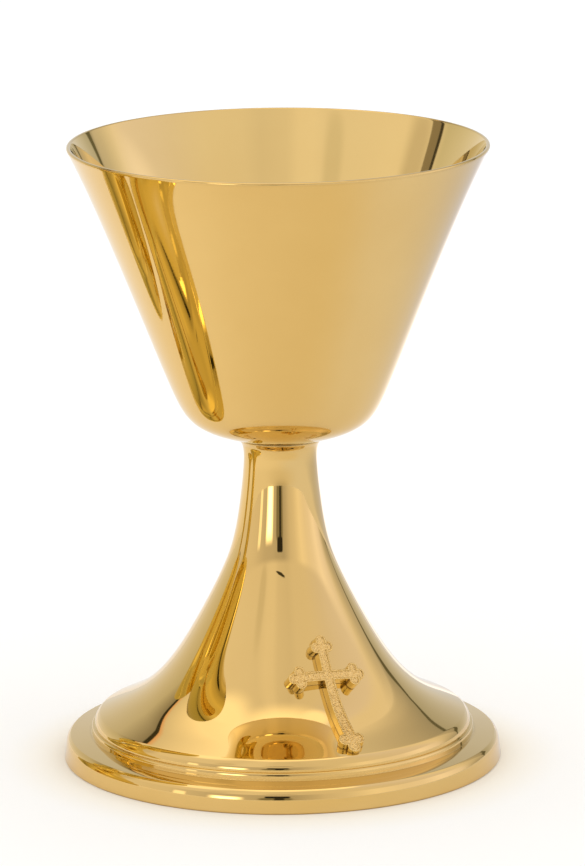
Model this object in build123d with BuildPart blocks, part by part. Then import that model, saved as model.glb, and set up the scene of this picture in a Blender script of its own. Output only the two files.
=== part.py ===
from build123d import *
import math
import os

# Communion chalice: a spun cup that unscrews from a trumpet stem on a stepped
# round foot, with a cast budded cross fixed to the front of the skirt.
# Millimetres, +Z up, origin at the centre of the foot's resting face.

os.makedirs("parts", exist_ok=True)

# ---------------------------------------------------------------- dimensions
height = 152.4            # overall, foot to lip
rim_r = 51.37             # corner of the lip before rounding; 51.1 after
cup_wall = 1.0            # spun cup
cup_foot_z = 80.0         # flat underside of the cup
cup_foot_r = 9.6          # where the cup meets the stem
lip_round = 0.42

stem_top_z = 79.92        # lip of the flared top, just clear of the cup
stem_top_r = 10.35
seat_z = 79.6             # counterbore in the top that holds the washer
stem_seat_r = 8.75
stem_wall = 1.1           # spun stem and skirt
stem_bore_r = 7.7         # bored for the threaded bush
stem_bore_z = 68.4        # lower end of that bore
skirt_edge_z = 8.25       # underside of the rolled edge of the skirt
skirt_inner_r = 43.6      # inner side of that edge
roll_r, roll_at = 3.4, (42.85, 8.42)      # rolled edge: radius and centre of its section

foot_r = 53.7             # resting edge of the foot
foot_wall = 1.2
foot_flange_r = 40.0      # inner edge of the flange under the skirt
bead_r, bead_at = 2.2, (44.77, 7.274)     # bead under the skirt: side
crown_r, crown_at = 0.35, (46.511, 7.906) # and its tighter top
band_r, band_at = 6.6, (46.773, 2.560)    # swell of the outer band
brow_r, brow_at = 1.9, (51.217, 4.090)    # tighter curve above it
ledge_out, ledge_in = (52.151, 5.786), (47.0, 6.42)
wire_r = 0.9              # stiffening wire inside the foot's lower edge

thread_pitch = 1.25
thread_major_r = 3.93     # male thread
thread_minor_r = 3.27
thread_gap = 0.12         # radial clearance, male to female
stud_end_z = 69.0
relief_z = 77.2           # thread relief under the boss
ferrule_z = 69.4          # lower end of the threaded bush
ferrule_r = 7.67
seat_bore_r = 6.2         # counterbore that clears the boss
seat_bore_z = 77.4

boss_r = 6.0
boss_z = 77.6
shank_r = 4.0
washer_in_r = 6.05
washer_out_r = 8.6

cross_azimuth = 23.0      # from the front, towards +X
cross_seat = 58.54        # distance down the stem outline to the crossing
cross_lean = 0.4          # turned on its own face, top to the left
bar_lean = 2.8            # bar out of square with the upright, right end down
arm_top, arm_bottom, arm_left, arm_right = 10.4, 23.3, 10.1, 9.7
upright_width = 2.6       # above the crossing
upright_low_width = 3.2   # flared towards the bottom
bar_width = 2.55
bud_r, bud_low_r = 1.38, 1.6                # three lobes on an arm; larger at the bottom
bud_spread, bud_low_spread = 1.5, 1.65      # side lobes, across the arm
bud_step, bud_low_step = 1.6, 2.0           # tip lobe beyond the side lobes
proud_top, proud_mid, proud_bottom = 3.0, 2.8, 2.1
proud_droop = 1.3         # face bends down towards the skirt over the bottom lobes
rim_width, field_depth = 0.42, 0.12       # raised rim round the stippled face
face_axis_back = 20.0     # the face curves about an axis this far behind Z
edge_round = 0.12

screw_at = (4.2, -12.5)   # along the upright from the crossing
screw_r = 1.0
screw_reach = 1.6         # beyond the outside of the skirt
screw_head_r = 1.9
screw_head = 1.2
spot_face = 0.12          # flat cut in the inside of the skirt
small_washer_r = 2.3
small_washer = 0.3

# ------------------------------------------------------------------ profiles
# Outside of the cup, lip to foot: two Bezier curves (radius, height).
cup_upper = [(rim_r, height), (45.408, 141.703), (32.014, 106.392), (28.382, 97.442)]
cup_lower = [(28.382, 97.442), (22.978, 84.129), (22.781, 83.426), (cup_foot_r, cup_foot_z)]

# Outside of the stem and skirt, top to edge (radius, height).
stem_outline = [
    (10.3, 79.76), (9.85, 79.25), (9.5, 78.75), (9.25, 78.1), (9.08, 77.3), (8.97, 76.2), (9.06, 72.74), (9.32, 69.66), (9.68, 66.46),
    (10.13, 62.99), (10.71, 59.3), (11.5, 55.47), (12.62, 51.57), (14.17, 47.64),
    (16.0, 43.68), (17.99, 39.71), (20.08, 35.78), (22.25, 31.94), (24.48, 28.27),
    (26.79, 24.87), (29.17, 21.83), (31.64, 19.21), (34.19, 17.02), (36.79, 15.24),
    (39.31, 13.82), (41.64, 12.67), (43.4, 11.84),
    (roll_at[0] + roll_r * math.cos(math.radians(53)), roll_at[1] + roll_r * math.sin(math.radians(53))),
]


def arc_points(centre, radius, start, middle, stop):
    """Three points of an arc in the section, by the elevation of its normal in degrees."""
    return [
        (centre[0] + radius * math.cos(math.radians(e)), centre[1] + radius * math.sin(math.radians(e)))
        for e in (start, middle, stop)
    ]


def bezier_at(points, t):
    """Point and unit tangent of a cubic Bezier curve."""
    p0, p1, p2, p3 = [Vector(p[0], p[1], 0) for p in points]
    s = 1 - t
    where = p0 * s**3 + p1 * (3 * s * s * t) + p2 * (3 * s * t * t) + p3 * t**3
    slope = (p1 - p0) * (3 * s * s) + (p2 - p1) * (6 * s * t) + (p3 - p2) * (3 * t * t)
    return where, slope.normalized()


def inside_of(where, slope, wall):
    """Step from a curve run downwards on the outside to the inside of the wall."""
    return (where.X + slope.Y * wall, where.Y - slope.X * wall)


# Inside of the cup: the outside curve moved in by the wall.
cup_inside = []
for k in range(11):
    cup_inside.append(inside_of(*bezier_at(cup_upper, k / 10), cup_wall))
for t in (0.12, 0.25, 0.38, 0.5, 0.62, 0.74):
    cup_inside.append(inside_of(*bezier_at(cup_lower, t), cup_wall))
slope0 = bezier_at(cup_upper, 0)[1]
cup_inside[0] = (rim_r + cup_wall / slope0.Y, height)

# The stem outline as one curve, for offsets and for seating the cross on it.
with BuildLine(Plane.XZ) as stem_guide:
    Spline(*stem_outline)
stem_curve = stem_guide.edges()[0]
stem_length = stem_curve.length


def skirt_at(distance):
    """(r, z) on the skirt and its outward normal, by distance along the outline."""
    flat = min(distance, 78.2)
    u = flat / stem_length
    p = stem_curve.position_at(u)
    t = stem_curve.tangent_at(u)
    if t.Z > 0:
        t = t * -1
    over = distance - flat
    return (p.X + t.X * over, p.Z + t.Z * over), (-t.Z, t.X)


stem_inside = []
for k in range(19, 79, 3):
    (r, z), (nr, nz) = skirt_at(k)
    stem_inside.append((r - nr * stem_wall, z - nz * stem_wall))

# ----------------------------------------------------------------------- cup
with BuildPart() as cup_bowl:
    with BuildSketch(Plane.XZ) as cup_section:
        with BuildLine() as cup_wires:
            Bezier(*cup_upper)
            Bezier(*cup_lower)
            Polyline((cup_foot_r, cup_foot_z), (0, cup_foot_z), (0, cup_foot_z + cup_wall))
            Spline(
                (0, cup_foot_z + cup_wall), (8.2, cup_foot_z + 1.22), *reversed(cup_inside),
                tangents=((1, 0), (-slope0.X, -slope0.Y)),
            )
            Line(cup_inside[0], (rim_r, height))
        make_face()
        fillet(cup_section.vertices().group_by(Axis.Y)[-1], radius=lip_round)
    revolve(axis=Axis.Z)

# Turned collar soldered under the cup; it carries the stud.
with BuildPart() as cup_boss:
    with BuildSketch(Plane.XZ):
        with BuildLine():
            Polyline(
                (shank_r + 0.03, boss_z), (boss_r - 0.4, boss_z), (boss_r, boss_z + 0.4),
                (boss_r, cup_foot_z), (shank_r + 0.03, cup_foot_z), close=True,
            )
        make_face()
    revolve(axis=Axis.Z)


def thread_section(minor, major):
    """Cross-section of a single-start 60 degree thread, as polar points."""
    points = []
    steps = 24
    for k in range(steps):
        phase = k / steps
        if phase < 0.10 or phase > 0.90:
            r = major
        elif 0.40 < phase < 0.60:
            r = minor
        else:
            ramp = (phase - 0.10) / 0.30 if phase < 0.5 else (0.90 - phase) / 0.30
            r = major + (minor - major) * ramp
        angle = 2 * math.pi * phase
        points.append((r * math.cos(angle), r * math.sin(angle)))
    return points


def thread_rod(minor, major, low, high):
    """Solid right-hand threaded rod between two heights on the Z axis."""
    with BuildSketch(Plane.XY) as outline:
        with BuildLine():
            Spline(*thread_section(minor, major), periodic=True)
        make_face()
    turns = (high - low) / thread_pitch
    phase = 360 * low / thread_pitch
    rod = Solid.extrude_linear_with_rotation(
        outline.sketch.faces()[0], center=(0, 0, 0), normal=(0, 0, high - low), angle=360 * turns
    )
    return Pos(0, 0, low) * Rot(0, 0, phase) * rod


male_thread = thread_rod(thread_minor_r, thread_major_r, stud_end_z, relief_z)
female_thread = thread_rod(
    thread_minor_r + thread_gap, thread_major_r + thread_gap, ferrule_z - 1.0, seat_bore_z + 0.6
)

# Stud: plain shank in the boss, thread relief, right-hand thread, tapered tip.
with BuildPart() as cup_stud:
    add(male_thread)
    with BuildSketch(Plane.XZ):
        with BuildLine():
            Polyline(
                (0, stud_end_z + 1), (thread_minor_r - 0.07, stud_end_z + 1),
                (thread_minor_r - 0.07, boss_z), (shank_r, boss_z), (shank_r, cup_foot_z),
                (0, cup_foot_z), close=True,
            )
        make_face()
    revolve(axis=Axis.Z)
    with BuildSketch(Plane.XZ):
        with BuildLine():
            Polyline(
                (thread_minor_r - 0.5, stud_end_z), (thread_major_r + 0.5, stud_end_z + 1.0),
                (thread_major_r + 0.5, stud_end_z - 0.5), (thread_minor_r - 0.5, stud_end_z - 0.5),
                close=True,
            )
        make_face()
    revolve(axis=Axis.Z, mode=Mode.SUBTRACT)

# Thin seating washer between the cup and the top of the stem.
with BuildPart() as seat_washer:
    with BuildSketch(Plane.XY.offset(seat_z)):
        Circle(washer_out_r)
        Circle(washer_in_r, mode=Mode.SUBTRACT)
    extrude(amount=cup_foot_z - seat_z)
    fillet(seat_washer.edges().filter_by(GeomType.CIRCLE).group_by(SortBy.RADIUS)[-1], radius=0.12)

# ---------------------------------------------------------------------- base
# Threaded bush brazed into the top of the stem.
with BuildPart() as neck_ferrule:
    with BuildSketch(Plane.XZ):
        with BuildLine():
            Polyline(
                (0, ferrule_z), (ferrule_r - 0.8, ferrule_z), (ferrule_r, ferrule_z + 0.8),
                (ferrule_r, seat_z), (seat_bore_r, seat_z), (seat_bore_r, seat_bore_z),
                (0, seat_bore_z), close=True,
            )
        make_face()
    revolve(axis=Axis.Z)
    add(female_thread, mode=Mode.SUBTRACT)

# Spun stem and skirt in one piece, open underneath.
roll_end = math.degrees(math.asin((skirt_edge_z - roll_at[1]) / roll_r))
with BuildPart() as stem_skirt:
    with BuildSketch(Plane.XZ):
        with BuildLine():
            Spline(*stem_outline)
            roll = arc_points(roll_at, roll_r, 53, 24, roll_end)
            ThreePointArc(*roll)
            Polyline(roll[2], (skirt_inner_r, skirt_edge_z), (skirt_inner_r, 9.7))
            Spline(
                (skirt_inner_r, 9.7), *reversed(stem_inside), (stem_bore_r, stem_bore_z),
                tangents=((-0.6, 1), (0, 1)),
            )
            Polyline(
                (stem_bore_r, stem_bore_z), (stem_bore_r, seat_z), (stem_seat_r, seat_z),
                (stem_seat_r, stem_top_z), (stem_top_r, stem_top_z), stem_outline[0],
            )
        make_face()
    revolve(axis=Axis.Z)


# --------------------------------------------------------------------- cross
# Local frame on the skirt at the crossing: a across, g up the skirt, n outwards.
around = math.radians(cross_azimuth)
lean = math.radians(cross_lean)
out_dir = Vector(math.sin(around), -math.cos(around), 0)
side_dir = Vector(math.cos(around), math.sin(around), 0)
up_dir = Vector(0, 0, 1)
(mid_r, mid_z), (mid_nr, mid_nz) = skirt_at(cross_seat)
mid_point = out_dir * mid_r + up_dir * mid_z
mid_normal = out_dir * mid_nr + up_dir * mid_nz
mid_rise = out_dir * (-mid_nz) + up_dir * mid_nr
cross_x = side_dir * math.cos(lean) + mid_rise * math.sin(lean)
cross_y = mid_rise * math.cos(lean) - side_dir * math.sin(lean)
tilt = math.radians(bar_lean)
bar_x = cross_x * math.cos(tilt) - cross_y * math.sin(tilt)
bar_y = cross_y * math.cos(tilt) + cross_x * math.sin(tilt)


def on_upright(along):
    """Position and outward normal on the upright, by distance up from the crossing."""
    (r, z), (nr, nz) = skirt_at(cross_seat - along)
    step = out_dir * (r - mid_r) + up_dir * (z - mid_z)
    u, v = step.dot(mid_rise), step.dot(mid_normal)
    normal = out_dir * nr + up_dir * nz
    nu, nv = normal.dot(mid_rise), normal.dot(mid_normal)
    return mid_point + cross_y * u + mid_normal * v, cross_y * nu + mid_normal * nv


def arm_end(direction, length):
    """Planes and radii of the three lobes at the end of an arm."""
    planes = []
    low = direction == "bottom"
    radius = bud_low_r if low else bud_r
    side_along = length - radius - (bud_low_step if low else bud_step)
    spread = bud_low_spread if low else bud_spread
    for along, across in ((length - radius, 0), (side_along, spread), (side_along, -spread)):
        if direction in ("top", "bottom"):
            where, normal = on_upright(along if direction == "top" else -along)
            where = where + cross_x * across
        else:
            sign = 1 if direction == "right" else -1
            where = mid_point + bar_x * (along * sign) + bar_y * across
            normal = mid_normal
        planes.append((Plane(origin=where - normal * 4, x_dir=cross_x, z_dir=normal), radius))
    return planes


# Body of revolution filling everything under the skirt's outside.
with BuildPart() as skirt_core:
    with BuildSketch(Plane.XZ):
        with BuildLine():
            Spline(*stem_outline)
            ThreePointArc(*arc_points(roll_at, roll_r, 53, 24, roll_end))
            Polyline(
                roll[2], (roll[2][0], skirt_edge_z - 4), (0, skirt_edge_z - 4),
                (0, stem_outline[0][1]), stem_outline[0],
            )
        make_face()
    revolve(axis=Axis.Z)

def face_body(drop):
    """Everything under the face of the cross, which is bent less than the skirt."""
    points = []
    for k in range(19):
        along = arm_top + 4 - k * (arm_top + arm_bottom + 5.5) / 18
        (r, z), (nr, nz) = skirt_at(cross_seat - along)
        if along > 0:
            proud = proud_mid + (proud_top - proud_mid) * along / arm_top - drop
        else:
            part_way = -along / arm_bottom
            proud = proud_mid + (proud_bottom - proud_mid) * part_way - drop
            proud -= proud_droop * (max(0, part_way - 0.72) / 0.28) ** 2
        points.append((r + nr * proud + face_axis_back, z + nz * proud))
    side = Plane(origin=out_dir * -face_axis_back, x_dir=side_dir, z_dir=side_dir.cross(up_dir))
    with BuildPart() as body:
        with BuildSketch(side):
            with BuildLine():
                Spline(*points)
                Polyline(points[-1], (0, points[-1][1]), (0, points[0][1]), points[0])
            make_face()
        revolve(axis=Axis(origin=out_dir * -face_axis_back, direction=(0, 0, 1)))
    return body.part


def cross_blank(inset):
    """Upright, bar and twelve lobes, drawn square to the skirt, smaller all round by the inset."""
    with BuildPart() as blank:
        # upright, drawn from the side between lines square to the skirt at each end
        top_at, top_n = on_upright(arm_top - bud_r)
        low_at, low_n = on_upright(-(arm_bottom - bud_low_r - 0.5))
        side_plane = Plane(origin=mid_point, x_dir=mid_normal, z_dir=cross_x)
        with BuildSketch(side_plane):
            with BuildLine():
                corners = []
                for where, normal, reach in (
                    (top_at, top_n, -3), (top_at, top_n, 9), (low_at, low_n, 9), (low_at, low_n, -3),
                ):
                    local = side_plane.to_local_coords(where + normal * reach)
                    corners.append((local.X, local.Y))
                inner = side_plane.to_local_coords(mid_point - mid_normal * 7)
                Polyline(*corners, (inner.X, inner.Y), close=True)
            make_face()
        extrude(amount=upright_low_width / 2 + 1, both=True)
        # its two sides, flared towards the bottom
        with BuildSketch(Plane(origin=mid_point - mid_normal * 20, x_dir=cross_x, z_dir=mid_normal)):
            with BuildLine():
                narrow, broad = upright_width / 2 - inset, upright_low_width / 2 - inset
                Polyline(
                    (-narrow, arm_top), (-narrow, 0), (-broad, -arm_bottom + 4), (-broad, -arm_bottom - 4),
                    (broad, -arm_bottom - 4), (broad, -arm_bottom + 4), (narrow, 0), (narrow, arm_top), close=True,
                )
            make_face()
        extrude(amount=40, mode=Mode.INTERSECT)
        # bar
        with BuildSketch(Plane(origin=mid_point - mid_normal * 6, x_dir=bar_x, z_dir=mid_normal)):
            with Locations(((arm_right - arm_left) / 2, 0)):
                Rectangle(arm_left + arm_right - 2 * bud_r, bar_width - 2 * inset)
        extrude(amount=15)
        # lobes
        for direction, length in (
            ("top", arm_top), ("bottom", arm_bottom), ("left", arm_left), ("right", arm_right),
        ):
            for lobe_plane, lobe_r in arm_end(direction, length):
                with BuildSketch(lobe_plane):
                    Circle(lobe_r - inset)
                extrude(amount=14)
    return blank.part


# What the stippled face is cut down by, inside the rim.
with BuildPart() as face_field:
    add(cross_blank(rim_width))
    add(face_body(field_depth), mode=Mode.SUBTRACT)

with BuildPart() as cross_plate:
    add(cross_blank(0))
    add(face_body(0), mode=Mode.INTERSECT)
    add(skirt_core.part, mode=Mode.SUBTRACT)
    # blind holes for the two screws
    for along in screw_at:
        where, normal = on_upright(along)
        with BuildSketch(Plane(origin=where - normal * 1, x_dir=cross_x, z_dir=normal)):
            Circle(screw_r + 0.04)
        extrude(amount=screw_reach + 1.2, mode=Mode.SUBTRACT)

    fronts = cross_plate.faces().filter_by(lambda f: f.normal_at().dot(mid_normal) > 0.75)
    border = [e for f in fronts for e in f.edges()]
    border = [e for e in border if sum(e.is_same(other) for other in border) == 1]
    fillet(border, radius=edge_round)
    add(face_field.part, mode=Mode.SUBTRACT)

# Screw holes and spot faces through the skirt, on the same two lines.
with BuildPart(mode=Mode.PRIVATE) as skirt_cuts:
    for along in screw_at:
        where, normal = on_upright(along)
        with BuildSketch(Plane(origin=where + normal * 1, x_dir=cross_x, z_dir=-normal)):
            Circle(screw_r + 0.15)
        extrude(amount=4)
        with BuildSketch(Plane(origin=where - normal * (stem_wall - spot_face), x_dir=cross_x, z_dir=-normal)):
            Circle(small_washer_r + 0.15)
        extrude(amount=3)
with BuildPart() as stem_skirt_done:
    add(stem_skirt.part)
    add(skirt_cuts.part, mode=Mode.SUBTRACT)

# Two pan-head screws entering the cross from inside the skirt.
with BuildPart() as cross_screws:
    for along in screw_at:
        where, normal = on_upright(along)
        under_head = where - normal * (stem_wall - spot_face + small_washer)
        with BuildSketch(Plane(origin=under_head, x_dir=cross_x, z_dir=normal)):
            Circle(screw_r)
        extrude(amount=screw_reach + stem_wall - spot_face + small_washer)
        head_plane = Plane(origin=under_head, x_dir=cross_x, z_dir=-normal)
        with BuildSketch(head_plane):
            Circle(screw_head_r)
        extrude(amount=screw_head, taper=12)
        with BuildSketch(head_plane.offset(screw_head - 0.5)):
            Rectangle(2 * screw_head_r + 1, 0.45)
        extrude(amount=1, mode=Mode.SUBTRACT)

with BuildPart() as cross_washers:
    for along in screw_at:
        where, normal = on_upright(along)
        seat = where - normal * (stem_wall - spot_face)
        with BuildSketch(Plane(origin=seat, x_dir=cross_x, z_dir=-normal)):
            Circle(small_washer_r)
            Circle(screw_r + 0.12, mode=Mode.SUBTRACT)
        extrude(amount=small_washer)

# ---------------------------------------------------------------------- foot
with BuildPart() as foot_plinth:
    with BuildSketch(Plane.XZ) as foot_section:
        with BuildLine():
            band = arc_points(band_at, band_r, 7, 14, 19)
            brow = arc_points(brow_at, brow_r, 19, 35, 50)
            bead = arc_points(bead_at, bead_r, 1.5, 10, 20)
            crown = arc_points(crown_at, crown_r, 20, 48, 76)
            Polyline((foot_r - 1.3, 0), (foot_r - 0.25, 0), (foot_r, 0.3), band[0])
            ThreePointArc(*band)
            ThreePointArc(band[2], *brow[1:])
            Polyline(brow[2], ledge_out, ledge_in, bead[0])
            ThreePointArc(*bead)
            ThreePointArc(bead[2], *crown[1:])
            Polyline(
                crown[2], (46.2, skirt_edge_z), (foot_flange_r, skirt_edge_z),
                (foot_flange_r, skirt_edge_z - foot_wall), (45.75, skirt_edge_z - foot_wall),
                (45.8, 5.25), (51.7, 4.55), (foot_r - 1.3, 0),
            )
        make_face()
        for corner, radius in ((ledge_out, 0.35), (ledge_in, 0.08), ((51.7, 4.55), 0.5)):
            fillet(foot_section.vertices().sort_by_distance(corner)[0], radius=radius)
    revolve(axis=Axis.Z)

# Wire ring soldered inside the lower edge to keep the foot round.
with BuildPart() as foot_wire:
    with BuildSketch(Plane.XZ):
        with Locations((51.3, 1.1)):
            Circle(wire_r)
    revolve(axis=Axis.Z)

for name, block in (
    ("cup_bowl", cup_bowl), ("cup_boss", cup_boss), ("cup_stud", cup_stud),
    ("seat_washer", seat_washer), ("neck_ferrule", neck_ferrule), ("stem_skirt", stem_skirt_done),
    ("foot_plinth", foot_plinth), ("foot_wire", foot_wire), ("cross_plate", cross_plate),
    ("cross_screws", cross_screws), ("cross_washers", cross_washers),
):
    block.part.label = name
    export_step(block.part, f"parts/{name}.step")
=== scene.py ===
import bpy
import math
import numpy as np
from mathutils import Matrix, Vector


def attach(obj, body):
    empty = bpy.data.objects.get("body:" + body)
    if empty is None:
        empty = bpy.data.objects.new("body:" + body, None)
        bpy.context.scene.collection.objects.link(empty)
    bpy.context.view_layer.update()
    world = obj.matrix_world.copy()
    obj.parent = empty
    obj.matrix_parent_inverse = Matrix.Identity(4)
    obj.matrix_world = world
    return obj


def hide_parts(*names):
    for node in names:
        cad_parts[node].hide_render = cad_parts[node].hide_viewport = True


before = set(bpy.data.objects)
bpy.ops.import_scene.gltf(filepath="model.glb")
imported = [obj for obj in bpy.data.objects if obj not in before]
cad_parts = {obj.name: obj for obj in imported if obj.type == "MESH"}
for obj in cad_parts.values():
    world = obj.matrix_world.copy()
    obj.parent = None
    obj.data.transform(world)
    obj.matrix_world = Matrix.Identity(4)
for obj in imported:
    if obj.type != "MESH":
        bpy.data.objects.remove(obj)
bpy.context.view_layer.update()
MM = 0.001
AROUND = 384


# ------------------------------------------------------------------ profiles
def bezier(points, n):
    p = np.array(points, float)
    t = np.linspace(0, 1, n)[:, None]
    return (1 - t) ** 3 * p[0] + 3 * t * (1 - t) ** 2 * p[1] + 3 * t * t * (1 - t) * p[2] + t ** 3 * p[3]


def natural_spline(points, n):
    """Cubic spline through the points, sampled evenly by distance."""
    p = np.array(points, float)
    d = np.r_[0, np.cumsum(np.hypot(*np.diff(p, axis=0).T))]
    m, h = len(p), np.diff(d)
    columns = []
    for k in (0, 1):
        y = p[:, k]
        a, b = np.zeros((m, m)), np.zeros(m)
        a[0, :3] = [h[1], -(h[0] + h[1]), h[0]]
        a[-1, -3:] = [h[-1], -(h[-2] + h[-1]), h[-2]]
        for i in range(1, m - 1):
            a[i, i - 1:i + 2] = [h[i - 1], 2 * (h[i - 1] + h[i]), h[i]]
            b[i] = 6 * ((y[i + 1] - y[i]) / h[i] - (y[i] - y[i - 1]) / h[i - 1])
        w = np.linalg.solve(a, b)
        u = np.linspace(0, d[-1], n)
        i = np.clip(np.searchsorted(d, u) - 1, 0, m - 2)
        t, s = u - d[i], d[i + 1] - u
        columns.append(
            w[i] * s ** 3 / (6 * h[i]) + w[i + 1] * t ** 3 / (6 * h[i])
            + (y[i] / h[i] - w[i] * h[i] / 6) * s + (y[i + 1] / h[i] - w[i + 1] * h[i] / 6) * t
        )
    return np.array(columns).T


def inward(curve, wall):
    """Moves a curve run downwards on the outside in by the wall."""
    t = np.gradient(curve, axis=0)
    t /= np.hypot(*t.T)[:, None]
    return curve + np.c_[t[:, 1], -t[:, 0]] * wall


def rounded(points, radii, n=6):
    """Polyline with rounded corners."""
    out = []
    pts = [np.array(p, float) for p in points]
    for k, (p, r) in enumerate(zip(pts, radii)):
        if k in (0, len(pts) - 1) or r <= 0:
            out.append(p)
            continue
        a, b = pts[k - 1] - p, pts[k + 1] - p
        la, lb = np.linalg.norm(a), np.linalg.norm(b)
        a, b = a / la, b / lb
        half = math.acos(max(-1, min(1, float(a @ b)))) / 2
        cut = min(r / math.tan(half), 0.48 * la, 0.48 * lb)
        radius = cut * math.tan(half)
        mid = (a + b) / np.linalg.norm(a + b)
        centre = p + mid * radius / math.sin(half)
        s, e = p + a * cut - centre, p + b * cut - centre
        a0 = math.atan2(s[1], s[0])
        turn = (math.atan2(e[1], e[0]) - a0 + math.pi) % (2 * math.pi) - math.pi
        for i in range(n + 1):
            q = a0 + turn * i / n
            out.append(centre + radius * np.array([math.cos(q), math.sin(q)]))
    return np.array(out)


def tight(curve, gap=1e-4):
    keep = [0] + [i for i in range(1, len(curve)) if np.hypot(*(curve[i] - curve[i - 1])) > gap]
    return curve[keep]


cup_upper = [(51.37, 152.4), (45.408, 141.703), (32.014, 106.392), (28.382, 97.442)]
cup_lower = [(28.382, 97.442), (22.978, 84.129), (22.781, 83.426), (9.6, 80.0)]
stem_outline = [
    (10.35, 79.9), (10.0, 79.4), (9.5, 78.75), (9.25, 78.1), (9.08, 77.3), (8.97, 76.2),
    (9.06, 72.74), (9.32, 69.66), (9.68, 66.46), (10.13, 62.99), (10.71, 59.3), (11.5, 55.47), (12.62, 51.57), (14.17, 47.64),
    (16.0, 43.68), (17.99, 39.71), (20.08, 35.78), (22.25, 31.94), (24.48, 28.27),
    (26.79, 24.87), (29.17, 21.83), (31.64, 19.21), (34.19, 17.02), (36.79, 15.24),
    (39.31, 13.82), (41.64, 12.67), (43.4, 11.84),
    (42.85 + 3.4 * math.cos(math.radians(53)), 8.42 + 3.4 * math.sin(math.radians(53))),
]


def arc(r, z, radius, start, stop, n=16):
    """Arc in the section, by the elevation of its normal in degrees."""
    e = np.radians(np.linspace(start, stop, n))
    return [(float(r + radius * math.cos(k)), float(z + radius * math.sin(k))) for k in e]


# -------------------------------------------------------------------- meshes
def lathe(name, runs, body, node):
    """Revolves runs of (radius, height, material index) about Z into one smooth closed mesh.
    runs: list of (curve, material). Consecutive runs share their end point."""
    verts, faces, mats = [], [], []
    curve = np.concatenate([runs[0][0]] + [c[1:] for c, _ in runs[1:]])
    which = []
    for k, (c, m) in enumerate(runs):
        which += [m] * (len(c) - 1)
    rings = []
    for r, z in curve:
        if r < 1e-6:
            rings.append([len(verts)])
            verts.append((0, 0, z * MM))
        else:
            rings.append(list(range(len(verts), len(verts) + AROUND)))
            for i in range(AROUND):
                a = 2 * math.pi * i / AROUND
                verts.append((r * math.cos(a) * MM, r * math.sin(a) * MM, z * MM))
    loops = [(k, k + 1) for k in range(len(rings) - 1)]
    if len(rings[0]) > 1 and np.hypot(*(curve[0] - curve[-1])) < 1e-6:
        for _ in range(AROUND):
            verts.pop()
        rings[-1] = rings[0]
    for k, (i, j) in enumerate(loops):
        a, b = rings[i], rings[j]
        for q in range(AROUND):
            w = (q + 1) % AROUND
            if len(a) == 1:
                faces.append((a[0], b[q], b[w]))
            elif len(b) == 1:
                faces.append((a[q], b[0], a[w]))
            else:
                faces.append((a[q], b[q], b[w], a[w]))
            mats.append(which[k])
    mesh = bpy.data.meshes.new(name)
    mesh.from_pydata(verts, [], faces)
    mesh.polygons.foreach_set("use_smooth", [True] * len(faces))
    mesh.polygons.foreach_set("material_index", mats)
    mesh.update()
    obj = bpy.data.objects.new(name, mesh)
    bpy.context.scene.collection.objects.link(obj)
    if body:
        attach(obj, body)
        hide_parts(node)
    return obj


# Cup: underside, outside wall, rounded lip, inside wall, inside bottom.
outside = np.concatenate([bezier(cup_upper, 110), bezier(cup_lower, 70)[1:]])
inside = inward(outside, 1.0)
lip = 0.42
lip_z = 152.4
mid_out = inward(outside, lip)
k0 = int(np.argmax(mid_out[:, 1] < lip_z - lip))
f = (mid_out[k0 - 1, 1] - (lip_z - lip)) / (mid_out[k0 - 1, 1] - mid_out[k0, 1])
c_out = mid_out[k0 - 1] + (mid_out[k0] - mid_out[k0 - 1]) * f
mid_in = inward(outside, 1.0 - lip)
k1 = int(np.argmax(mid_in[:, 1] < lip_z - lip))
f = (mid_in[k1 - 1, 1] - (lip_z - lip)) / (mid_in[k1 - 1, 1] - mid_in[k1, 1])
c_in = mid_in[k1 - 1] + (mid_in[k1] - mid_in[k1 - 1]) * f
slope = outside[1] - outside[0]
n_out = math.atan2(slope[0], -slope[1])
lip_curve = [c_out + lip * np.array([math.cos(a), math.sin(a)]) for a in np.linspace(n_out, math.pi / 2, 8)]
lip_curve += [c_in + lip * np.array([math.cos(a), math.sin(a)]) for a in np.linspace(math.pi / 2, n_out + math.pi, 10)]
lip_curve = np.array(lip_curve)
wall_out = outside[outside[:, 1] < lip_curve[0][1] - 0.02][::-1]
wall_in = inside[(inside[:, 1] < lip_curve[-1][1] - 0.02) & (inside[:, 0] > 17.5)]
bottom_in = natural_spline([tuple(wall_in[-1]), (14.2, 82.32), (10.6, 81.52), (7.2, 81.14), (3.4, 81.01), (0, 81.0)], 40)
under = np.array([(0, 80.0), (3, 80.0), (6, 80.0), (9.0, 80.0)])
cup = lathe(
    "chalice_cup",
    [
        (np.concatenate([under, wall_out[:1]]), 2),
        (tight(np.concatenate([wall_out, lip_curve])), 0),
        (tight(np.concatenate([lip_curve[-1:], wall_in, bottom_in[1:]])), 1),
    ],
    "cup", "cup_bowl",
)

# Stem and skirt: outside, turned edge, inside, bore for the bush.
skin = natural_spline(stem_outline, 300)
roll_end = math.degrees(math.asin((8.25 - 8.42) / 3.4))
roll = arc(42.85, 8.42, 3.4, 53, roll_end, 26)
edge = rounded(roll + [(43.6, 8.25), (43.6, 9.7)], [0] * (len(roll)) + [0.1, 0], 4)
core = inward(skin, 1.1)
core = core[(core[:, 1] > 10.3) & (core[:, 1] < 60.5) & (core[:, 0] > 8.6)][::-1]
core = core[core[:, 0] < 42.6]
inner = natural_spline([(43.6, 9.7)] + [tuple(c) for c in core[::10]] + [(8.25, 63.5), (7.75, 66.0), (7.7, 68.4)], 160)
top = rounded(
    [(7.7, 68.4), (7.7, 79.6), (8.75, 79.6), (8.75, 79.97), (9.6, 79.97), (10.4, 80.16), (10.35, 79.9)],
    [0, 0.05, 0.03, 0.05, 0.1, 0.04, 0], 4,
)
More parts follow.
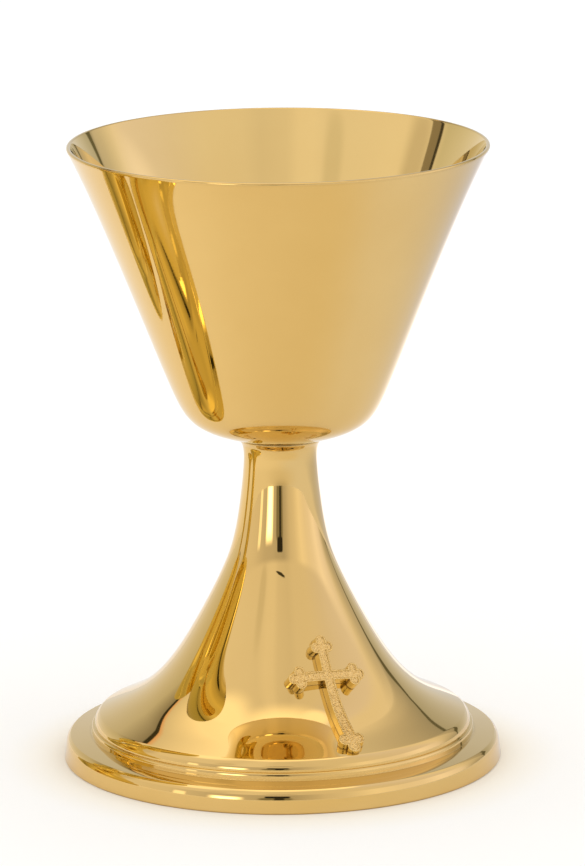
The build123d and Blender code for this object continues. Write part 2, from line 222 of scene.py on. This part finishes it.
stem = lathe("chalice_stem", [(skin, 0), (tight(edge), 0), (inner, 1), (top, 1)], "base", "stem_skirt")

# Foot: outer band, brow, ledge, bead, flange under the skirt and underside.
band, brow = arc(46.773, 2.560, 6.6, 7, 19, 16), arc(51.217, 4.090, 1.9, 19, 50, 12)
bead, crown = arc(44.77, 7.274, 2.2, 1.5, 20, 14), arc(46.511, 7.906, 0.35, 20, 76, 8)
corners = [((52.4, 0), 0), ((53.45, 0), 0.1), ((53.7, 0.3), 0.25)] + [(p, 0) for p in band + brow[1:]]
corners += [((52.151, 5.786), 0.35), ((47.0, 6.42), 0.08)] + [(p, 0) for p in bead + crown[1:]]
corners += [((46.2, 8.25), 0), ((45.6, 8.25), 0)]
foot_curve = rounded([c[0] for c in corners], [c[1] for c in corners], 10)
fine = [foot_curve[0]]
for a, b in zip(foot_curve[:-1], foot_curve[1:]):
    steps = max(1, int(np.hypot(*(b - a)) / 0.25))
    fine += [a + (b - a) * i / steps for i in range(1, steps + 1)]
foot_curve = tight(np.array(fine), 0.004)
foot_under = rounded(
    [(45.6, 8.25), (40.0, 8.25), (40.0, 7.05), (45.75, 7.05), (45.8, 5.25), (51.7, 4.55), (52.4, 0)],
    [0, 0.1, 0.1, 0.15, 0.2, 0.5, 0], 4,
)
foot = lathe("chalice_foot", [(foot_curve, 0), (tight(foot_under), 1)], "base", "foot_plinth")


# ----------------------------------------------------------------- materials
class Nodes:
    """Short helpers for building a node tree."""

    def __init__(self, tree):
        self.tree = tree
        tree.nodes.clear()

    def add(self, kind, **inputs):
        node = self.tree.nodes.new(kind)
        for key, value in inputs.items():
            if hasattr(node, key):
                setattr(node, key, value)
        return node

    def put(self, socket, value):
        if isinstance(value, bpy.types.NodeSocket):
            self.tree.links.new(value, socket)
        else:
            socket.default_value = value

    def math(self, op, *values, clamp=False):
        node = self.add("ShaderNodeMath", operation=op)
        node.use_clamp = clamp
        for k, value in enumerate(values):
            self.put(node.inputs[k], value)
        return node.outputs[0]

    def vector(self, op, a, b=None, scale=None):
        node = self.add("ShaderNodeVectorMath", operation=op)
        self.put(node.inputs[0], a)
        if b is not None:
            self.put(node.inputs[1], b)
        if scale is not None:
            self.put(node.inputs["Scale"], scale)
        return node.outputs["Value"] if op in ("DOT_PRODUCT", "LENGTH") else node.outputs["Vector"]

    def combine(self, x, y, z):
        node = self.add("ShaderNodeCombineXYZ")
        for socket, value in zip(node.inputs, (x, y, z)):
            self.put(socket, value)
        return node.outputs[0]

    def noise(self, vector, scale, detail=2.0, rough=0.5):
        node = self.add("ShaderNodeTexNoise")
        node.noise_dimensions = "3D"
        self.put(node.inputs["Vector"], vector)
        node.inputs["Scale"].default_value = scale
        node.inputs["Detail"].default_value = detail
        node.inputs["Roughness"].default_value = rough
        return node.outputs["Fac"]

    def map(self, value, a, b, c, d, smooth=False):
        node = self.add("ShaderNodeMapRange")
        if smooth:
            node.interpolation_type = "SMOOTHSTEP"
        self.put(node.inputs["Value"], value)
        for key, v in (("From Min", a), ("From Max", b), ("To Min", c), ("To Max", d)):
            self.put(node.inputs[key], v)
        return node.outputs["Result"]

    def mix(self, factor, a, b, mode="MIX"):
        node = self.add("ShaderNodeMix")
        node.data_type = "RGBA"
        node.blend_type = mode
        node.clamp_factor = True
        self.put(node.inputs["Factor"], factor)
        self.put(node.inputs["A"], a)
        self.put(node.inputs["B"], b)
        return node.outputs["Result"]

    def bump(self, height, strength, distance, normal=None):
        node = self.add("ShaderNodeBump")
        node.inputs["Strength"].default_value = strength
        node.inputs["Distance"].default_value = distance
        self.put(node.inputs["Height"], height)
        if normal is not None:
            self.put(node.inputs["Normal"], normal)
        return node.outputs["Normal"]

    def metal(self, colour, roughness, normal, metallic=1.0, again=None):
        node = self.add("ShaderNodeBsdfPrincipled")
        if again:
            # gold mirrored in gold reads yellower than the plate on its own
            seen = self.add("ShaderNodeLightPath").outputs["Is Glossy Ray"]
            colour = self.mix(seen, colour, self.mix(1.0, colour, rgb(*again), "MULTIPLY"))
        self.put(node.inputs["Base Color"], colour)
        self.put(node.inputs["Metallic"], metallic)
        self.put(node.inputs["Roughness"], roughness)
        if normal is not None:
            self.put(node.inputs["Normal"], normal)
        out = self.add("ShaderNodeOutputMaterial")
        self.tree.links.new(node.outputs[0], out.inputs["Surface"])
        return node


def rgb(r, g, b):
    return (r, g, b, 1.0)


def material(name):
    mat = bpy.data.materials.new(name)
    mat.use_nodes = True
    return mat, Nodes(mat.node_tree)


def spun_gold(name, light, deep, rough, haze, ring, ripple, painted_dark_bands=None):
    """Polished gold plate on spun sheet: faint spinning lines, hand-polish haze, slow colour drift."""
    mat, n = material(name)
    place = n.add("ShaderNodeTexCoord").outputs["Object"]
    split = n.add("ShaderNodeSeparateXYZ")
    n.put(split.inputs[0], place)
    x, y, z = split.outputs
    radius = n.math("SQRT", n.math("ADD", n.math("MULTIPLY", x, x), n.math("MULTIPLY", y, y)))
    rings = n.combine(n.math("MULTIPLY", radius, 1.0), n.math("MULTIPLY", z, 1.0), 0.0)
    lines = n.noise(rings, 2600.0, 3.0, 0.6)
    bands = n.noise(rings, 240.0, 2.0, 0.5)
    cloud = n.noise(place, 38.0, 3.0, 0.55)
    grain = n.noise(place, 900.0, 2.0, 0.6)
    # wipe marks: long streaks round the axis
    stretched = n.vector("MULTIPLY", place, (60.0, 60.0, 900.0))
    wipes = n.noise(stretched, 1.0, 3.0, 0.65)
    colour = n.mix(n.map(cloud, 0.3, 0.7, 0.0, 1.0), rgb(*light), rgb(*deep))
    r = n.math("ADD", rough, n.math("MULTIPLY", n.map(cloud, 0.35, 0.75, 0.0, 1.0), haze))
    r = n.math("ADD", r, n.math("MULTIPLY", n.map(wipes, 0.5, 0.8, 0.0, 1.0), haze * 0.8))
    r = n.math("ADD", r, n.math("MULTIPLY", n.map(lines, 0.4, 0.75, 0.0, 1.0), haze * 0.6))
    # darker bands by height, painted into the colour: painted shade where the foot meets the floor and in the ledge's
    # inner corner, and a faint darker band round the cup's lip
    if painted_dark_bands:
        for low, high, soft, amount in painted_dark_bands:
            up = n.map(z, (low - soft) * MM, low * MM, 0.0, 1.0, True)
            down = n.map(z, high * MM, (high + soft) * MM, 1.0, 0.0, True)
            band_darkening = n.math("MULTIPLY", n.math("MULTIPLY", up, down), n.map(grain, 0.25, 0.7, 0.55, 1.0))
            band_darkening = n.math("MULTIPLY", band_darkening, amount)
            colour = n.mix(band_darkening, colour, rgb(0.16, 0.085, 0.025))
            r = n.math("ADD", r, n.math("MULTIPLY", band_darkening, 0.35))
    height = n.math("ADD", n.math("MULTIPLY", lines, ring), n.math("MULTIPLY", bands, ring * 2.0))
    normal = n.bump(height, 1.0, 0.00002)
    normal = n.bump(n.noise(place, 22.0, 1.0, 0.4), ripple, 0.0004, normal)
    n.metal(colour, r, normal, again=(1.02, 1.22, 1.6))
    return mat


gold_cup = spun_gold("gold_cup_outside", (0.81, 0.538, 0.196), (0.785, 0.512, 0.180), 0.016, 0.030, 0.05, 0.02,
                     [(151.6, 153.0, 0.3, 0.08)])
# inside of the bowl: the same gold plate as outside, painted lighter and yellower for the light bounced round inside
# it
gold_bowl = spun_gold("gold_cup_inside", (0.846, 0.587, 0.228), (0.825, 0.562, 0.212), 0.025, 0.030, 0.07, 0.03)
gold_stem = spun_gold("gold_stem", (0.80, 0.530, 0.192), (0.78, 0.508, 0.178), 0.012, 0.024, 0.035, 0.012)
# foot: painted shade in the ledge's inner corner (z 6.40-6.48) and along the bottom edge where the foot meets the
# floor
gold_foot = spun_gold("gold_foot", (0.795, 0.525, 0.190), (0.77, 0.50, 0.172), 0.016, 0.028, 0.04, 0.015,
                      [(6.40, 6.48, 0.08, 0.15), (-0.3, 0.10, 0.22, 0.3)])


def bare_brass(name, light, deep, rough, ring):
    """Unpolished inside of spun sheet, or a turned fitting, with tool lines and stain."""
    mat, n = material(name)
    place = n.add("ShaderNodeTexCoord").outputs["Object"]
    split = n.add("ShaderNodeSeparateXYZ")
    n.put(split.inputs[0], place)
    x, y, z = split.outputs
    radius = n.math("SQRT", n.math("ADD", n.math("MULTIPLY", x, x), n.math("MULTIPLY", y, y)))
    rings = n.combine(radius, z, 0.0)
    lines = n.noise(rings, 1500.0, 4.0, 0.65)
    stain = n.noise(place, 70.0, 5.0, 0.6)
    spots = n.noise(place, 420.0, 3.0, 0.5)
    colour = n.mix(n.map(stain, 0.35, 0.7, 0.0, 1.0), rgb(*light), rgb(*deep))
    colour = n.mix(n.math("MULTIPLY", n.map(spots, 0.58, 0.75, 0.0, 1.0), 0.45), colour, rgb(0.14, 0.08, 0.035))
    r = n.math("ADD", rough, n.math("MULTIPLY", n.map(lines, 0.3, 0.7, 0.0, 1.0), 0.14))
    r = n.math("ADD", r, n.math("MULTIPLY", stain, 0.12))
    normal = n.bump(lines, ring, 0.00008)
    n.metal(colour, r, normal)
    return mat


brass_inside = bare_brass("brass_unpolished", (0.66, 0.45, 0.18), (0.48, 0.30, 0.11), 0.26, 0.6)
brass_turned = bare_brass("brass_turned", (0.72, 0.50, 0.20), (0.60, 0.39, 0.15), 0.16, 0.45)
# washer painted dark: painted shade of the thin gap between the cup and the top of the stem
brass_gap_shade = bare_brass("brass_washer_painted_shade", (0.36, 0.235, 0.09), (0.22, 0.14, 0.055), 0.34, 0.5)
brass_wire = bare_brass("brass_wire", (0.58, 0.42, 0.20), (0.44, 0.31, 0.14), 0.24, 0.35)


def steel():
    mat, n = material("zinc_steel")
    place = n.add("ShaderNodeTexCoord").outputs["Object"]
    cloud = n.noise(place, 500.0, 4.0, 0.6)
    fine = n.noise(place, 4200.0, 2.0, 0.5)
    colour = n.mix(n.map(cloud, 0.35, 0.7, 0.0, 1.0), rgb(0.56, 0.57, 0.58), rgb(0.42, 0.42, 0.41))
    colour = n.mix(n.math("MULTIPLY", n.map(cloud, 0.62, 0.78, 0.0, 1.0), 0.5), colour, rgb(0.30, 0.22, 0.14))
    r = n.math("ADD", 0.22, n.math("MULTIPLY", fine, 0.2))
    n.metal(colour, r, n.bump(fine, 0.35, 0.00004))
    return mat


def cross_gold():
    """Cast gold-plated cross: stippled matt face, bright rounded edge, polished side walls."""
    mat, n = material("gold_cross")
    place = n.add("ShaderNodeTexCoord").outputs["Object"]
    geo = n.add("ShaderNodeNewGeometry")
    a = math.radians(23.0)
    facing = (math.sin(a) * 0.818, -math.cos(a) * 0.818, 0.575)
    front = n.vector("DOT_PRODUCT", geo.outputs["True Normal"], facing)
    face = n.map(front, 0.80, 0.88, 0.0, 1.0, True)
    soft = n.add("ShaderNodeBevel")
    soft.samples = 6
    soft.inputs["Radius"].default_value = 0.00022
    rim = n.vector("DOT_PRODUCT", soft.outputs["Normal"], geo.outputs["True Normal"])
    rim = n.map(rim, 0.995, 0.93, 0.0, 1.0, True)
    pits = n.add("ShaderNodeTexVoronoi")
    pits.feature = "F1"
    n.put(pits.inputs["Vector"], place)
    pits.inputs["Scale"].default_value = 2100.0
    grain = n.noise(place, 2600.0, 3.0, 0.65)
    lump = n.noise(place, 420.0, 2.0, 0.5)
    stipple = n.math("ADD", n.math("MULTIPLY", pits.outputs["Distance"], 0.9), n.math("MULTIPLY", grain, 0.9))
    flat = n.math("MULTIPLY", face, n.math("SUBTRACT", 1.0, rim))
    colour_face = n.mix(n.map(stipple, 0.35, 0.95, 0.0, 1.0), rgb(0.60, 0.34, 0.085), rgb(0.91, 0.59, 0.21))
    colour_wall = n.mix(n.map(lump, 0.3, 0.7, 0.0, 1.0), rgb(0.84, 0.56, 0.165), rgb(0.76, 0.48, 0.12))
    colour = n.mix(flat, colour_wall, colour_face)
    # painted shade: a darker outline along the rounded edges of the cross
    colour = n.mix(n.math("MULTIPLY", rim, 0.75), colour, rgb(0.66, 0.41, 0.11))
    # painted shade: the side walls darkened by ambient occlusion where they meet the skirt and in inside corners, not
    # on the face
    keep_dark = n.map(face, 0.0, 1.0, 0.85, 0.0)
    contact_occlusion = n.add("ShaderNodeAmbientOcclusion")
    contact_occlusion.samples = 6
    contact_occlusion.inputs["Distance"].default_value = 0.0007
    contact_shade = n.map(contact_occlusion.outputs["AO"], 0.50, 0.86, 1.0, 0.0, True)
    colour = n.mix(n.math("MULTIPLY", contact_shade, keep_dark), colour, rgb(0.20, 0.10, 0.02))
    rough_face = n.map(grain, 0.3, 0.7, 0.26, 0.40)
    rough_wall = n.map(lump, 0.3, 0.7, 0.06, 0.14)
    keep = n.math("SUBTRACT", 1.0, flat)
    r = n.math("ADD", n.math("MULTIPLY", rough_face, flat), n.math("MULTIPLY", rough_wall, keep))
    height = n.math("ADD", n.math("MULTIPLY", stipple, flat), n.math("MULTIPLY", n.math("MULTIPLY", lump, 0.4), keep))
    n.metal(colour, r, n.bump(height, 1.0, 0.00022, soft.outputs["Normal"]), again=(1.02, 1.2, 1.5))
    return mat


def dress(obj, *mats):
    which = np.zeros(len(obj.data.polygons), dtype=np.int32)
    obj.data.polygons.foreach_get("material_index", which)
    obj.data.materials.clear()
    for m in mats:
        obj.data.materials.append(m)
    obj.data.polygons.foreach_set("material_index", which)


dress(cup, gold_cup, gold_bowl, brass_turned)
dress(stem, gold_stem, brass_inside)
dress(foot, gold_foot, brass_inside)
steel_mat, cross_mat = steel(), cross_gold()
for node, mat in (
    ("cup_boss", brass_turned), ("cup_stud", brass_turned), ("neck_ferrule", brass_turned),
    ("seat_washer", brass_gap_shade), ("foot_wire", brass_wire), ("cross_plate", cross_mat),
    ("cross_screws", steel_mat), ("cross_washers", steel_mat),
):
    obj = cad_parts[node]
    for k in range(max(1, len(obj.material_slots))):
        if obj.material_slots:
            obj.material_slots[k].material = mat
        else:
            obj.data.materials.append(mat)


# --------------------------------------------------------------------- stage
def stage_object(name, verts, faces, mat):
    mesh = bpy.data.meshes.new(name)
    mesh.from_pydata(verts, [], faces)
    mesh.polygons.foreach_set("use_smooth", [True] * len(faces))
    mesh.update()
    obj = bpy.data.objects.new(name, mesh)
    mesh.materials.append(mat)
    bpy.context.scene.collection.objects.link(obj)
    return obj


floor_mat, n = material("floor_cloth")
place = n.add("ShaderNodeTexCoord").outputs["Object"]
weave = n.noise(place, 900.0, 3.0, 0.6)
split = n.add("ShaderNodeSeparateXYZ")
n.put(split.inputs[0], place)
fx, fy, _ = split.outputs


def patch(x0, y0, wide, deep, soft=0.5):
    """Soft ellipse on the floor, in metres."""
    u = n.math("DIVIDE", n.math("SUBTRACT", fx, x0), wide)
    v = n.math("DIVIDE", n.math("SUBTRACT", fy, y0), deep)
    d = n.math("SQRT", n.math("ADD", n.math("MULTIPLY", u, u), n.math("MULTIPLY", v, v)))
    return n.map(d, 1.0 - soft, 1.0 + soft, 1.0, 0.0, True)


def diffuse(colour):
    bsdf = n.add("ShaderNodeBsdfDiffuse")
    n.put(bsdf.inputs["Color"], colour)
    n.put(bsdf.inputs["Normal"], n.bump(weave, 0.15, 0.0004))
    return bsdf.outputs[0]


def join(factor, a, b):
    node = n.add("ShaderNodeMixShader")
    n.put(node.inputs[0], factor)
    n.put(node.inputs[1], a)
    n.put(node.inputs[2], b)
    return node.outputs[0]


cloth_plain = n.mix(n.map(n.noise(place, 6.0, 3.0, 0.5), 0.35, 0.65, 0.0, 1.0), rgb(0.955, 0.95, 0.945), rgb(0.935, 0.93, 0.922))
# gold light spilled on the cloth round the foot
cloth = n.mix(patch(0.0, -0.002, 0.0625, 0.0625, 0.13), cloth_plain, rgb(0.93, 0.89, 0.81))
# what the gold mirrors, painted into the floor that only reflections see: cooler to the right, painted shade at the
# right back, at the front and just in front of the foot, painted light at the left back, and a painted sunlit strip
# behind
mirrored = n.mix(n.map(fx, -0.12, 0.22, 0.0, 1.0, True), rgb(0.86, 0.86, 0.85), rgb(0.79, 0.83, 0.95))
mirrored = n.mix(patch(0.42, 0.35, 0.30, 0.30, 0.6), mirrored, rgb(0.60, 0.65, 0.80))
mirrored = n.mix(patch(0.05, -1.05, 0.55, 0.5, 0.8), mirrored, rgb(0.74, 0.73, 0.69))
mirrored = n.mix(patch(0.05, -1.5, 0.45, 0.42, 0.7), mirrored, rgb(0.60, 0.585, 0.545))
mirrored = n.mix(patch(0.0, -0.14, 0.15, 0.08, 0.5), mirrored, rgb(0.80, 0.782, 0.715))
mirrored = n.mix(patch(-0.30, 0.15, 0.26, 0.50, 0.6), mirrored, rgb(0.92, 0.92, 0.92))
sun = n.add("ShaderNodeEmission")
n.put(sun.inputs["Strength"], n.math("MULTIPLY", patch(0.09, 0.42, 0.07, 0.24, 0.5), 0.55))
plus = n.add("ShaderNodeAddShader")
n.put(plus.inputs[0], diffuse(mirrored))
n.put(plus.inputs[1], sun.outputs[0])
glossy = n.add("ShaderNodeLightPath").outputs["Is Glossy Ray"]
out = n.add("ShaderNodeOutputMaterial")
n.tree.links.new(join(glossy, diffuse(cloth), plus.outputs[0]), out.inputs["Surface"])
ring = 96
floor_verts = [(0, 0, 0)] + [
    (1.55 * math.cos(2 * math.pi * i / ring), 1.55 * math.sin(2 * math.pi * i / ring), 0) for i in range(ring)
]
stage_object("floor", floor_verts, [(0, 1 + i, 1 + (i + 1) % ring) for i in range(ring)], floor_mat)

# Gold reflectors beside the object: only mirrored in it, never seen, no shadow.
reflector_mat, n = material("gold_reflector")
n.metal(rgb(0.76, 0.60, 0.165), 0.04, None)
reflector_curve = np.concatenate([bezier(cup_upper, 40), bezier(cup_lower, 24)[1:], natural_spline(stem_outline, 60),
                                  np.array([(46.8, 8.5), (47.0, 6.8), (52.4, 5.6), (53.7, 0.2)])])
turns = 96
for k, (cx, cy) in enumerate(((-137.0, -4.0), (-228.0, 82.0))):
    verts, faces = [], []
    for i in range(turns):
        a = 2 * math.pi * i / turns
        verts += [((cx + r * math.cos(a)) * MM, (cy + r * math.sin(a)) * MM, z * MM) for r, z in reflector_curve]
    m = len(reflector_curve)
    for i in range(turns):
        j = (i + 1) % turns
        faces += [(i * m + q, i * m + q + 1, j * m + q + 1, j * m + q) for q in range(m - 1)]
    card = stage_object("reflector_%d" % k, verts, faces, reflector_mat)
    card.visible_camera = False
    card.visible_diffuse = False
    card.visible_shadow = False

# Studio: white tent, brighter overhead, with the few dark gaps a polished cup shows.
world = bpy.data.worlds.new("tent")
bpy.context.scene.world = world
world.use_nodes = True
n = Nodes(world.node_tree)
aim = n.add("ShaderNodeTexCoord").outputs["Generated"]
split = n.add("ShaderNodeSeparateXYZ")
n.put(split.inputs[0], aim)
dx, dy, dz = split.outputs
DEG = 180 / math.pi
az = n.math("MULTIPLY", n.math("ARCTAN2", dx, n.math("MULTIPLY", dy, -1.0)), DEG)
el = n.math("MULTIPLY", n.math("ARCSINE", dz), DEG)


def spot(a0, e0, wide, tall, soft=0.35, turn=0.0, square=False):
    """Soft ellipse or rounded box in azimuth and elevation, in degrees; 1 inside, 0 outside."""
    u, v = n.math("SUBTRACT", az, a0), n.math("SUBTRACT", el, e0)
    c, s = math.cos(math.radians(turn)), math.sin(math.radians(turn))
    p = n.math("DIVIDE", n.math("ADD", n.math("MULTIPLY", u, c), n.math("MULTIPLY", v, s)), wide)
    q = n.math("DIVIDE", n.math("SUBTRACT", n.math("MULTIPLY", v, c), n.math("MULTIPLY", u, s)), tall)
    power = 6.0 if square else 2.0
    p, q = n.math("POWER", n.math("ABSOLUTE", p), power), n.math("POWER", n.math("ABSOLUTE", q), power)
    d = n.math("POWER", n.math("ADD", p, q), 1.0 / power)
    return n.map(d, 1.0 - soft, 1.0 + soft, 1.0, 0.0, True)


def levels(value, low, high, base, span, stops):
    """Piecewise linear curve over a range, through a colour ramp."""
    node = n.add("ShaderNodeValToRGB")
    ramp = node.color_ramp
    ramp.interpolation = "LINEAR"
    stops = [((at - low) / (high - low), (level - base) / span) for at, level in sorted(stops)]
    for element, (at, k) in ((ramp.elements[0], stops[0]), (ramp.elements[1], stops[-1])):
        element.position, element.color = at, (k, k, k, 1.0)
    for at, k in stops[1:-1]:
        ramp.elements.new(at).color = (k, k, k, 1.0)
    n.put(node.inputs[0], n.map(value, low, high, 0.0, 1.0))
    pick = n.add("ShaderNodeSeparateXYZ")
    n.put(pick.inputs[0], node.outputs["Color"])
    return n.math("ADD", n.math("MULTIPLY", pick.outputs[0], span), base)


def grey(level):
    return n.combine(level, level, level)


# walls by azimuth: low down, and higher up
low_wall = grey(levels(az, -180.0, 180.0, 0.0, 2.0, [
    (-180, 0.85), (-80, 0.90), (-64, 0.87), (-48, 0.76), (-40, 0.70), (-20, 0.67), (-12, 0.62), (6, 0.57), (14, 0.68),
    (22, 0.81), (34, 0.90), (50, 1.12), (66, 1.02), (78, 1.04), (92, 1.19), (102, 1.08), (112, 0.97), (124, 0.88),
]))
high_wall = grey(levels(az, -180.0, 180.0, 0.0, 2.0, [
    (-180, 0.90), (-80, 0.95), (-62, 0.93), (-50, 0.92), (-36, 0.90), (-24, 0.96), (-14, 0.95), (-6, 0.87), (12, 0.83),
    (24, 0.88), (50, 0.89), (72, 0.87), (95, 0.90), (120, 0.95),
]))
tone = n.mix(n.map(el, 19.0, 25.0, 0.0, 1.0, True), low_wall, high_wall)
cool = n.mix(n.map(az, 40.0, 100.0, 0.0, 1.0, True), rgb(1.0, 1.0, 1.02), rgb(1.0, 1.03, 1.30))
tone = n.mix(1.0, tone, cool, "MULTIPLY")
tone = n.mix(n.map(el, 66.0, 82.0, 0.0, 1.0, True), tone, rgb(1.55, 1.52, 1.42))
tone = n.mix(spot(-115, 63, 55, 14, 0.35), tone, rgb(1.45, 1.45, 1.40))             # bright ceiling, left back
tone = n.mix(spot(80, 76, 30, 7, 0.4), tone, rgb(1.5, 1.5, 1.45))                   # and right

# backdrop sheet behind the object: brighter near the table, dark at its top edge
turn = n.math("FLOORED_MODULO", az, 360.0)
rise = levels(turn, 100.0, 250.0, -60.0, 120.0, [
    (100, -50), (115, -20), (125, -7), (131, -4.1), (133, 8), (135, 13), (141, 18), (146, 24), (152, 28), (156, 30),
    (170, 35), (190, 40), (209, 41), (219, 38.4), (227, 36.8), (233, 35.6), (242, 33.6), (250, 31),
])
over = n.math("SUBTRACT", el, rise)
left = n.map(turn, 172.0, 200.0, 0.0, 1.0, True)
sheet_right = n.mix(n.map(over, -26.0, 0.0, 0.0, 1.0), rgb(0.74, 0.80, 0.87), rgb(0.50, 0.55, 0.58))
sheet_left = n.mix(n.map(over, -38.0, -12.0, 0.0, 1.0), rgb(0.87, 0.90, 0.90), rgb(0.66, 0.69, 0.66))
sheet_left = n.mix(n.map(over, -12.0, -1.0, 0.0, 1.0), sheet_left, rgb(0.33, 0.33, 0.31))
above_right = n.mix(n.map(over, 0.0, 46.0, 0.0, 1.0), rgb(0.42, 0.44, 0.44), rgb(0.98, 1.0, 1.08))
above_left = n.mix(n.map(over, 0.0, 20.0, 0.0, 1.0), rgb(0.80, 0.79, 0.74), rgb(1.35, 1.34, 1.28))
above_left = n.mix(n.map(over, 0.9, 3.2, 1.0, 0.0, True), above_left, rgb(0.95, 0.62, 0.42))
sheet = n.mix(left, sheet_right, sheet_left)
above = n.mix(left, above_right, above_left)
behind = n.mix(n.map(over, -0.25, 0.25, 0.0, 1.0), sheet, above)
thick = n.map(turn, 135.0, 147.0, 4.2, 1.0)
line = n.map(n.math("DIVIDE", n.math("ABSOLUTE", over), thick), 0.6, 1.2, 1.0, 0.0, True)
behind = n.mix(line, behind, n.mix(left, rgb(0.15, 0.16, 0.12), rgb(0.05, 0.05, 0.03)))
where = n.math("MULTIPLY", n.map(turn, 104.0, 120.0, 0.0, 1.0, True), n.map(turn, 241.0, 250.0, 1.0, 0.0, True))
where = n.math("MULTIPLY", where, n.map(el, 58.0, 72.0, 1.0, 0.0, True))
tone = n.mix(where, tone, behind)

tone = n.mix(spot(-38, 33, 6, 9, 0.5), tone, rgb(0.80, 0.80, 0.79))
tone = n.mix(spot(-30, 1.5, 6.8, 7.2, 0.6, 0, True), tone, rgb(4.2, 4.1, 3.9))     # window
tone = n.mix(spot(-55.5, 2.5, 3.4, 9.0, 0.3, 0, True), tone, rgb(1.55, 1.55, 1.5))      # second window
tone = n.mix(spot(-97, 21, 8, 12, 0.6), tone, rgb(0.72, 0.71, 0.70))                # upright, left
tone = n.mix(spot(-109.5, 21, 4.6, 15, 0.10, 0, True), tone, rgb(0.30, 0.28, 0.24))
tone = n.mix(spot(-112.6, 21, 1.1, 15, 0.3, 0, True), tone, rgb(0.06, 0.06, 0.05))
tone = n.mix(spot(-2, 30.3, 9.5, 0.85, 0.2, 8), tone, rgb(0.06, 0.06, 0.04))        # seam, front
tone = n.mix(spot(-4, 3.0, 8.5, 7.0, 0.2, 0, True), tone, rgb(0.27, 0.27, 0.22))    # camera and stand
tone = n.mix(spot(-2, 3.0, 2.6, 9.0, 0.2, 0, True), tone, rgb(0.05, 0.05, 0.04))
tone = n.mix(spot(-3, 12.6, 6.6, 3.9, 0.1, 0, True), tone, rgb(0.035, 0.035, 0.03))
path = n.add("ShaderNodeLightPath")
plain = n.mix(path.outputs["Is Camera Ray"], rgb(1.14, 1.138, 1.125), rgb(1.0, 1.0, 1.0))
tone = n.mix(path.outputs["Is Glossy Ray"], plain, tone)
back = n.add("ShaderNodeBackground")
n.put(back.inputs["Color"], tone)
out = n.add("ShaderNodeOutputWorld")
n.tree.links.new(back.outputs[0], out.inputs["Surface"])

# -------------------------------------------------------------------- camera
cam_data = bpy.data.cameras.new("camera")
cam = bpy.data.objects.new("camera", cam_data)
bpy.context.scene.collection.objects.link(cam)
bpy.context.scene.camera = cam
cam_data.lens = 257.68
cam_data.sensor_width = 36.0
cam_data.sensor_fit = "AUTO"
cam_data.shift_x = 12.2 / 866.0
cam_data.clip_start, cam_data.clip_end = 0.05, 50.0
cam.matrix_world = (
    Matrix.Translation((0.0, -1.4709, 0.4207)) @ Matrix.Rotation(math.radians(90.0) - 0.2270, 4, "X")
    @ Matrix.Rotation(math.radians(-0.437), 4, "Z")
)

scene = bpy.context.scene
scene.view_settings.view_transform = "Standard"
scene.view_settings.look = "None"
scene.view_settings.exposure = 0.0
scene.view_settings.gamma = 1.0
